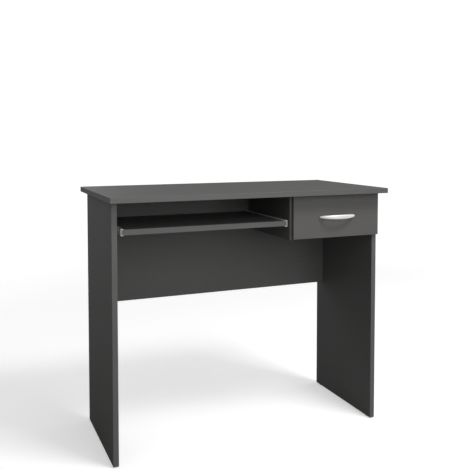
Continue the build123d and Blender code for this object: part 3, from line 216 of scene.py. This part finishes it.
def laminate(name, grain, raw_below=None):
    """Matt anthracite melamine: a fine pearl texture, and hardly any figure along the grain.

    Below the height raw_below the cut chipboard shows, as on the ends of the side panels."""
    make = Maker(name, Roughness=0.5, Specular_IOR_Level=0.42)
    along = make.stretched(GRAIN[grain])
    streaks = make.noise(along, scale=9.0, detail=5.0, roughness=0.62)
    fine = make.noise(along, scale=60.0, detail=3.0, roughness=0.6)
    cloud = make.noise(make.place, scale=3.5, detail=3.0)
    tone = make.ramp(
        make.weighted((streaks, 0.45), (fine, 0.25), (cloud, 0.30)),
        (0.35, tinted(ANTHRACITE, 0.92)),
        (0.50, ANTHRACITE),
        (0.65, tinted(ANTHRACITE, 1.08)),
    )
    speck = make.noise(make.place, scale=900.0, detail=1.0)
    tone = make.mix(make.span(speck, (0.62, 0.74), (0.0, 0.3)), tone, tinted(ANTHRACITE, 1.4))
    sheen = make.weighted((streaks, 0.4), (cloud, 0.6))
    rough = make.span(sheen, (0.35, 0.65), (0.46, 0.55))
    pearl = make.cells(make.place, scale=1400.0, feature="SMOOTH_F1")
    if raw_below is not None:
        height = make.node("ShaderNodeSeparateXYZ", Vector=make.place).outputs["Z"]
        raw = make.math("LESS_THAN", height, raw_below)
        chips = make.cells(make.stretched(CHIP_SHAPE), scale=420.0, output="Color")
        chip = make.ramp(
            make.node("ShaderNodeSeparateColor", Color=chips).outputs[0],
            (0.0, DARK_CHIP),
            (0.5, MIDDLE_CHIP),
            (1.0, PALE_CHIP),
        )
        tone = make.mix(raw, tone, chip)
        rough = make.math("MAXIMUM", rough, make.math("MULTIPLY", raw, RAW_ROUGHNESS))
    make.colour(tone)
    make.roughness(rough)
    make.bump((pearl, 0.10, 0.12 * MM), (fine, 0.05, 0.10 * MM))
    return make.material


def edge_band(name, grain):
    """Matt ABS band, a shade lighter than the boards, with faint lines from extrusion."""
    make = Maker(name, Roughness=0.42, Specular_IOR_Level=0.5)
    lines = make.noise(make.stretched(GRAIN[grain]), scale=70.0, detail=3.0)
    cloud = make.noise(make.place, scale=9.0)
    peel = make.noise(make.place, scale=1300.0, detail=1.0)
    tone = make.ramp(
        make.weighted((lines, 0.5), (cloud, 0.5)),
        (0.32, tinted(BAND_ANTHRACITE, 0.95)),
        (0.68, tinted(BAND_ANTHRACITE, 1.05)),
    )
    make.colour(tone)
    make.roughness(make.span(lines, (0.3, 0.7), (0.37, 0.47)))
    make.bump((peel, 0.08, 0.10 * MM))
    return make.material


def hardboard():
    """Thin hardboard with a printed anthracite foil, slightly glossier than the boards."""
    make = Maker("hardboard", Roughness=0.4)
    weave = make.noise(make.stretched(WEAVE_SHAPE), scale=80.0, detail=4.0)
    make.colour(make.ramp(weave, (0.3, DARK_FOIL), (0.7, PALE_FOIL)))
    make.roughness(make.span(weave, (0.3, 0.7), (0.35, 0.48)))
    make.bump((weave, 0.1, 0.10 * MM))
    return make.material


def bare_metal(name, colour, drawn, rough):
    """Bare metal drawn along one axis: fine lines along it, and a cloudy sheen.

    rough is the range of its roughness."""
    make = Maker(name, Metallic=1.0)
    scratch = make.noise(make.stretched(GRAIN[drawn]), scale=700.0, detail=3.0, roughness=0.65)
    cloud = make.noise(make.place, scale=45.0, detail=3.0)
    tone = make.ramp(
        make.weighted((scratch, 0.6), (cloud, 0.4)),
        (0.30, tinted(colour, 0.88)),
        (0.70, tinted(colour, 1.06)),
    )
    make.colour(tone)
    make.roughness(make.span(make.math("ADD", scratch, cloud), (0.7, 1.3), rough))
    make.bump((scratch, 0.08, 0.08 * MM))
    return make.material


def zinc_plate(name, colour):
    """Bright zinc plating: irregular crystals that catch the light differently."""
    make = Maker(name, Metallic=1.0)
    crystals = make.cells(make.place, scale=380.0, output="Color")
    spangle = make.node("ShaderNodeSeparateColor", Color=crystals).outputs[0]
    cloud = make.noise(make.place, scale=60.0, detail=3.0)
    make.colour(make.ramp(spangle, (0.0, tinted(colour, 0.9)), (1.0, tinted(colour, 1.08))))
    make.roughness(make.span(make.math("ADD", spangle, cloud), (0.3, 1.4), (0.24, 0.44)))
    make.bump((cloud, 0.06, 0.20 * MM))
    return make.material


def cast_zinc():
    """Die-cast zinc with a dull, slightly pitted skin."""
    make = Maker("cast_zinc", Metallic=1.0)
    pits = make.noise(make.place, scale=1500.0, detail=3.0)
    make.colour(make.ramp(pits, (0.3, DARK_CAST), (0.7, PALE_CAST)))
    make.roughness(make.span(pits, (0.3, 0.7), (0.42, 0.6)))
    make.bump((pits, 0.2, 0.10 * MM))
    return make.material


def coated_steel(name, colour):
    """Epoxy powder coat on folded steel: soft gloss with an orange-peel surface."""
    make = Maker(name, Roughness=0.32, Coat_Weight=0.15, Coat_Roughness=0.15)
    peel = make.noise(make.place, scale=650.0)
    cloud = make.noise(make.place, scale=30.0)
    make.colour(make.ramp(cloud, (0.3, tinted(colour, 0.94)), (0.7, tinted(colour, 1.05))))
    make.roughness(make.span(cloud, (0.3, 0.7), (0.28, 0.37)))
    make.bump((peel, 0.16, 0.25 * MM))
    return make.material


def beech():
    """Beech dowel: warm wood with short dark flecks."""
    make = Maker("beech", Roughness=0.6)
    flecks = make.noise(make.place, scale=300.0, detail=6.0, roughness=0.7)
    make.colour(make.ramp(flecks, (0.35, DARK_BEECH), (0.65, PALE_BEECH)))
    make.roughness(make.span(flecks, (0.3, 0.7), (0.5, 0.7)))
    make.bump((flecks, 0.2, 0.20 * MM))
    return make.material


def moulded_plastic(name, colour, rough, soft=0.0):
    """Moulded plastic with a fine eroded texture. soft is how milky it is."""
    make = Maker(name, Roughness=rough, Subsurface_Weight=soft, Subsurface_Scale=2.0 * MM)
    skin = make.noise(make.place, scale=2200.0)
    cloud = make.noise(make.place, scale=120.0)
    make.colour(make.ramp(cloud, (0.3, tinted(colour, 0.93)), (0.7, tinted(colour, 1.05))))
    make.roughness(make.span(skin, (0.3, 0.7), (rough - 0.06, rough + 0.08)))
    make.bump((skin, 0.12, 0.12 * MM))
    return make.material


def handle_lacquer():
    """Pale satin lacquer over a zinc casting: fine metallic flake under a clear film."""
    make = Maker("handle_lacquer", Metallic=0.2, Coat_Weight=0.25, Coat_Roughness=0.2)
    flake = make.noise(make.place, scale=3200.0, detail=1.0)
    cloud = make.noise(make.place, scale=70.0)
    mixed = make.weighted((flake, 0.5), (cloud, 0.5))
    make.colour(make.ramp(mixed, (0.35, DARK_LACQUER), (0.65, PALE_LACQUER)))
    make.roughness(make.span(flake, (0.3, 0.7), (0.30, 0.40)))
    make.bump((flake, 0.05, 0.06 * MM))
    return make.material


def dress(material, *names):
    """Gives CAD nodes their material, in every slot that they have."""
    for name in names:
        mesh = nodes[name].data
        if not mesh.materials:
            mesh.materials.append(material)
        for index in range(len(mesh.materials)):
            mesh.materials[index] = material


RAW_DEPTH = 0.4 * MM            # the cut chipboard shows this far up the panels' lower ends
RAW_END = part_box("left_side_panel")[0].z + RAW_DEPTH
upright = laminate("laminate_upright", grain="Z", raw_below=RAW_END)
lengthways = laminate("laminate_lengthways", grain="X")
dress(lengthways, "tabletop", "modesty_panel", "keyboard_tray", "drawer_front", "drawer_back")
dress(upright, "left_side_panel", "right_side_panel")
dress(laminate("laminate_deep", grain="Y"),
      "drawer_divider", "drawer_left_side", "drawer_right_side")
dress(edge_band("band_lengthways", grain="X"),
      "tabletop_edge_bands", "modesty_edge_band", "tray_edge_bands", "drawer_front_edge_bands")
dress(edge_band("band_upright", grain="Z"),
      "left_panel_edge_bands", "right_panel_edge_bands", "divider_edge_bands")
dress(hardboard(), "drawer_bottom")
dress(coated_steel("channel_coat", colour=(0.78, 0.78, 0.765)),
      "left_tray_channel", "right_tray_channel")
dress(zinc_plate("zinc_plate", colour=(0.66, 0.67, 0.685)),
      "left_tray_outer_rail", "right_tray_outer_rail",
      "left_tray_inner_rail", "right_tray_inner_rail")
dress(bare_metal("cage_steel", colour=(0.55, 0.55, 0.54), drawn="Y", rough=(0.35, 0.5)),
      "left_ball_cage", "right_ball_cage")
dress(bare_metal("ball_steel", colour=(0.75, 0.75, 0.76), drawn="Z", rough=(0.08, 0.14)),
      "left_rail_balls", "right_rail_balls")
dress(coated_steel("rail_coat", colour=(0.60, 0.60, 0.585)),
      "left_drawer_cabinet_rail", "right_drawer_cabinet_rail",
      "left_drawer_rail", "right_drawer_rail")
dress(zinc_plate("screw_zinc", colour=(0.62, 0.63, 0.64)),
      "divider_screws", "tray_outer_rail_screws", "tray_inner_rail_screws",
      "drawer_cabinet_rail_screws", "drawer_back_screws", "drawer_bottom_screws",
      "handle_screws", "drawer_rail_screws", "cabinet_roller_axles", "drawer_roller_axles",
      "cam_bolts", "drawer_cam_bolts")
dress(cast_zinc(), "cam_locks", "drawer_cam_locks")
dress(beech(), "carcass_dowels", "drawer_dowels")
dress(moulded_plastic("cap_plastic", colour=(0.10, 0.098, 0.096), rough=0.42), "cam_caps")
dress(moulded_plastic("glide_plastic", colour=(0.055, 0.055, 0.056), rough=0.5), "floor_glides")

# ---- Mesh helpers -----------------------------------------------------------------------


def piece(name, shape, material, body, replaced):
    """Turns a finished bmesh into a piece that stands for a CAD node and rides its body."""
    bmesh.ops.recalc_face_normals(shape, faces=shape.faces[:])
    mesh = bpy.data.meshes.new(name)
    shape.to_mesh(mesh)
    shape.free()
    mesh.materials.append(material)
    made = bpy.data.objects.new(name, mesh)
    bpy.context.scene.collection.objects.link(made)
    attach(made, body)
    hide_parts(replaced)
    return made


def ring(shape, points):
    """Adds one loop of vertices."""
    return [shape.verts.new(point) for point in points]


def bridge(shape, first, second):
    """Joins two loops of the same length with quads."""
    count = len(first)
    for index in range(count):
        after = (index + 1) % count
        shape.faces.new((first[index], first[after], second[after], second[index]))


def tube(shape, rings):
    """A closed skin through the rings, with each end drawn to a point at its middle."""
    for first, second in zip(rings, rings[1:]):
        bridge(shape, first, second)
    for end in (rings[0], rings[-1]):
        middle = sum((vert.co for vert in end), Vector()) / len(end)
        tip = shape.verts.new(middle)
        for index in range(len(end)):
            shape.faces.new((end[index], end[(index + 1) % len(end)], tip))


def apply_modifiers(made):
    """Bakes an object's modifiers into its mesh."""
    depsgraph = bpy.context.evaluated_depsgraph_get()
    baked = bpy.data.meshes.new_from_object(made.evaluated_get(depsgraph))
    made.modifiers.clear()
    made.data = baked


# ---- Bow handle -------------------------------------------------------------------------
# The bow is an arc in plan. Its upright section is an oval, 14 mm tall in the middle, that
# closes to rounded tips, with a shallow groove along the front. Two posts hold it, and they
# flare where they meet the bow and the drawer front.

handle_low, handle_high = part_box("drawer_handle")
HANDLE_THICKNESS = 5.0 * MM
HANDLE_STATIONS = 72
HANDLE_ROUND = 48
GROOVE_DEPTH = 0.35 * MM
GROOVE_WIDTH = 0.22             # of the section's half height
POST_RADIUS = 3.6 * MM
POST_FLARE = 2.2 * MM
POST_HALF_SPACING = 48.0 * MM
HANDLE_TIP = 0.996              # the last sections' places, from 0 in the middle to 1
HEIGHT_POWER = 0.9              # how the height and the thickness close towards the tips
THICKNESS_POWER = 0.5
POST_STEPS = 12
POST_ROUND = 32
POST_OVAL = 0.94                # height over width
FRONT_FLARE = 0.45              # the flare at the drawer front, of the one at the bow
FRONT_FADE = 9.0                # how fast each flare fades along the post
BOW_FADE = 7.0
HANDLE_VOXEL = 0.4 * MM
BLEND_SHARE = 0.5
BLEND_PASSES = 5
FACES_KEPT = 0.45

handle_mid = (handle_low + handle_high) / 2
bow_half = (handle_high.x - handle_low.x) / 2
bow_height = (handle_high.z - handle_low.z) / 2
bow_rise = (handle_high.y - handle_low.y) - HANDLE_THICKNESS
bow_radius = (bow_half**2 + bow_rise**2) / (2 * bow_rise)
bow_sweep = math.asin(bow_half / bow_radius)
bow_centre_y = handle_low.y + HANDLE_THICKNESS / 2 + bow_radius


def bow_station(along):
    """The section at along, from -1 at the left tip to 1 at the right one."""
    turn = bow_sweep * along
    outward = Vector((math.sin(turn), -math.cos(turn), 0))
    middle = Vector((handle_mid.x, bow_centre_y, handle_mid.z)) + outward * bow_radius
    fullness = math.sqrt(max(0.0, 1 - along**2))
    tall = bow_height * fullness**HEIGHT_POWER
    thick = HANDLE_THICKNESS / 2 * fullness**THICKNESS_POWER
    points = []
    for index in range(HANDLE_ROUND):
        angle = 2 * math.pi * index / HANDLE_ROUND
        up, out = math.sin(angle), math.cos(angle)
        groove = GROOVE_DEPTH * math.exp(-((up / GROOVE_WIDTH) ** 2)) * fullness if out > 0 else 0
        points.append(middle + outward * (out * thick - groove) + Vector((0, 0, up * tall)))
    return points


def post_rings(x):
    """A round post from the drawer front into the bow, flared at both ends."""
    reach = bow_radius - math.sqrt(bow_radius**2 - (x - handle_mid.x) ** 2)
    start, end = handle_high.y, handle_low.y + HANDLE_THICKNESS / 2 + reach
    rings = []
    for step in range(POST_STEPS + 1):
        share = step / POST_STEPS
        at_front = FRONT_FLARE * math.exp(-share * FRONT_FADE)
        at_bow = math.exp((share - 1) * BOW_FADE)
        radius = POST_RADIUS + POST_FLARE * (at_front + at_bow)
        y = start + (end - start) * share
        rings.append([
            Vector((x + radius * math.cos(a), y, handle_mid.z + radius * math.sin(a) * POST_OVAL))
            for a in (2 * math.pi * n / POST_ROUND for n in range(POST_ROUND))
        ])
    return rings


def bow_handle():
    """The whole handle as one smooth casting."""
    shape = bmesh.new()
    alongs = [math.sin(math.pi * (n / (HANDLE_STATIONS - 1) - 0.5)) * HANDLE_TIP
              for n in range(HANDLE_STATIONS)]
    tube(shape, [ring(shape, bow_station(along)) for along in alongs])
    for side in (-1, 1):
        x = handle_mid.x + side * POST_HALF_SPACING
        tube(shape, [ring(shape, points) for points in post_rings(x)])
    made = piece("bow_handle", shape, handle_lacquer(), "drawer", "drawer_handle")
    union = made.modifiers.new("union", "REMESH")
    union.mode = "VOXEL"
    union.voxel_size = HANDLE_VOXEL
    blend = made.modifiers.new("blend", "SMOOTH")
    blend.factor = BLEND_SHARE
    blend.iterations = BLEND_PASSES
    lighten = made.modifiers.new("lighten", "DECIMATE")
    lighten.ratio = FACES_KEPT
    apply_modifiers(made)
    made.data.shade_smooth()


bow_handle()

# ---- Rollers ----------------------------------------------------------------------------
# Each roller is turned in one piece: a tyre with rounded shoulders, a web set back from both
# faces, and a hub around the axle.

ROLLER_BORE = 2.58 * MM
ROLLER_HUB = 3.7 * MM
ROLLER_TYRE = 1.7 * MM
ROLLER_CORNER = 0.35 * MM
ROLLER_WEB = 0.45               # these five are shares of the half width
ROLLER_FOOT = 0.51              # where the web's corners begin
ROLLER_RIM = 0.93               # where the hub's and the tyre's inner edges are broken
ROLLER_SHOULDER = 0.95          # the middle of the tyre's rounded shoulder
ROLLER_TREAD = 0.84             # where the shoulder ends and the tread begins
ROLLER_SHOULDER_DROP = 0.6      # from the tread to the shoulder's middle, in corners
ROLLER_ROUND = 64
ROLLER_CREASE = math.radians(40.0)


def roller(name, material):
    """One nylon roller in place of its CAD node, with its axle along X."""
    low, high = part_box(name)
    centre = (low + high) / 2
    half, outer = (high.x - low.x) / 2, (high.z - low.z) / 2
    inner = outer - ROLLER_TYRE
    corner = ROLLER_CORNER
    one_side = [
        (1.0, ROLLER_BORE),
        (1.0, ROLLER_HUB - corner),
        (ROLLER_RIM, ROLLER_HUB),
        (ROLLER_FOOT, ROLLER_HUB + corner),
        (ROLLER_WEB, ROLLER_HUB + 2 * corner),
        (ROLLER_WEB, inner - 2 * corner),
        (ROLLER_FOOT, inner - corner),
        (ROLLER_RIM, inner),
        (1.0, inner + corner),
        (1.0, outer - 2 * corner),
        (ROLLER_SHOULDER, outer - ROLLER_SHOULDER_DROP * corner),
        (ROLLER_TREAD, outer),
    ]
    profile = one_side + [(-share, radius) for share, radius in reversed(one_side)]
    shape = bmesh.new()
    loops = []
    for share, radius in profile:
        loops.append(ring(shape, [
            (centre.x + share * half, centre.y + radius * math.cos(a),
             centre.z + radius * math.sin(a))
            for a in (2 * math.pi * n / ROLLER_ROUND for n in range(ROLLER_ROUND))
        ]))
    for first, second in zip(loops, loops[1:] + loops[:1]):
        bridge(shape, first, second)
    made = piece(f"{name}_turned", shape, material, name, name)
    made.data.shade_smooth()
    made.data.set_sharp_from_angle(angle=ROLLER_CREASE)


NYLON = moulded_plastic("roller_nylon", colour=(0.80, 0.79, 0.76), rough=0.35, soft=0.3)
for side in ("left", "right"):
    for owner in ("cabinet", "drawer"):
        roller(f"{side}_{owner}_roller", NYLON)

# ---- Floor, light and camera ------------------------------------------------------------

FLOOR_HALF = 6.0
FLOOR_SOLID = 1.7               # the floor is whole up to here, and then it fades out
FLOOR_GONE = 3.6
FLOOR_GLOW = 0.39               # light of its own, which only the camera sees
FLOOR_BOUNCE = (0.25, 0.25, 0.25)       # its colour for every other ray
LIT_POINT = Vector((0.0, 0.0, 0.5))     # what the lights are turned to


def floor_material():
    """Pale matt studio floor that fades into the white backdrop. The camera sees it nearly
    white, and it throws less light back at the object than such a floor would."""
    make = Maker("studio_floor", Roughness=0.9, Specular_IOR_Level=0.1,
                 Emission_Color=opaque(WHITE), Emission_Strength=FLOOR_GLOW)
    cloud = make.noise(make.place, scale=1.3, detail=3.0)
    make.colour(make.ramp(cloud, (0.3, DARK_FLOOR), (0.7, PALE_FLOOR)))
    bounce = make.node("ShaderNodeBsdfDiffuse", Color=opaque(FLOOR_BOUNCE)).outputs[0]
    seen = make.node("ShaderNodeLightPath").outputs["Is Camera Ray"]
    look = make.blend(seen, bounce, make.shader.outputs[0])
    length = make.node("ShaderNodeVectorMath", {"operation": "LENGTH"}, Vector=make.place)
    fade = make.node("ShaderNodeMapRange", {"interpolation_type": "SMOOTHSTEP"},
                     Value=length.outputs["Value"], From_Min=FLOOR_SOLID, From_Max=FLOOR_GONE)
    clear = make.node("ShaderNodeBsdfTransparent").outputs[0]
    whole = make.blend(fade.outputs[0], look, clear)
    make.feed(make.tree.nodes["Material Output"].inputs["Surface"], whole)
    return make.material


def floor():
    """A wide pale floor under the glides."""
    mesh = bpy.data.meshes.new("studio_floor")
    shape = bmesh.new()
    corners = [(-1, -1), (1, -1), (1, 1), (-1, 1)]
    shape.faces.new([shape.verts.new((x * FLOOR_HALF, y * FLOOR_HALF, FLOOR_Z)) for x, y in corners])
    shape.to_mesh(mesh)
    shape.free()
    mesh.materials.append(floor_material())
    made = bpy.data.objects.new("studio_floor", mesh)
    bpy.context.scene.collection.objects.link(made)


def softbox(name, place, size, power):
    """A rectangular area light at place, turned to LIT_POINT."""
    data = bpy.data.lights.new(name, "AREA")
    data.shape = "RECTANGLE"
    data.size, data.size_y = size
    data.energy = power
    made = bpy.data.objects.new(name, data)
    made.location = place
    made.rotation_mode = "QUATERNION"
    made.rotation_quaternion = (LIT_POINT - Vector(place)).to_track_quat("-Z", "Y")
    bpy.context.scene.collection.objects.link(made)


def surroundings(ambient, backdrop):
    """An even pale room, lighter where the camera sees it directly."""
    world = bpy.data.worlds.new("studio")
    bpy.context.scene.world = world
    world.use_nodes = True
    tree = world.node_tree
    fill = tree.nodes["Background"]
    fill.inputs["Color"].default_value = opaque(WHITE)
    fill.inputs["Strength"].default_value = ambient
    seen = tree.nodes.new("ShaderNodeBackground")
    seen.inputs["Color"].default_value = opaque(WHITE)
    seen.inputs["Strength"].default_value = backdrop
    rays = tree.nodes.new("ShaderNodeLightPath")
    blend = tree.nodes.new("ShaderNodeMixShader")
    tree.links.new(rays.outputs["Is Camera Ray"], blend.inputs[0])
    tree.links.new(fill.outputs[0], blend.inputs[1])
    tree.links.new(seen.outputs[0], blend.inputs[2])
    tree.links.new(blend.outputs[0], tree.nodes["World Output"].inputs["Surface"])


floor()
surroundings(ambient=0.235, backdrop=1.05)
softbox("high_key", place=(1.1, -1.7, 3.3), size=(1.2, 0.9), power=63.0)
softbox("front_key", place=(0.3, -3.2, 1.6), size=(2.6, 1.6), power=31.0)
softbox("front_low", place=(0.3, -3.4, 0.85), size=(2.8, 0.9), power=8.0)
softbox("left_fill", place=(-2.0, -2.4, 2.4), size=(2.0, 1.8), power=6.0)
softbox("right_fill", place=(2.3, -2.2, 2.0), size=(2.0, 1.8), power=4.5)
softbox("side_fill", place=(3.0, 0.3, 1.5), size=(1.8, 1.6), power=16.0)
softbox("rear_fill", place=(-0.9, 3.1, 2.0), size=(2.0, 1.8), power=18.0)

CAMERA_PLACE = (-0.8420, -2.0085, 0.9355)
CAMERA_TURN = 23.0          # degrees to the right of straight at the desk
CAMERA_TIP = 2.795          # degrees down
CAMERA_LENS = 51.214        # mm
CAMERA_SENSOR = 36.0        # mm
CAMERA_SHIFT = -0.14        # in widths of the picture

camera_data = bpy.data.cameras.new("camera")
camera_data.lens = CAMERA_LENS
camera_data.sensor_width = CAMERA_SENSOR
camera_data.shift_y = CAMERA_SHIFT
camera = bpy.data.objects.new("camera", camera_data)
camera.location = CAMERA_PLACE
camera.rotation_euler = (math.radians(90 - CAMERA_TIP), 0, math.radians(-CAMERA_TURN))
bpy.context.scene.collection.objects.link(camera)
bpy.context.scene.camera = camera
bpy.context.scene.view_settings.view_transform = "Standard"
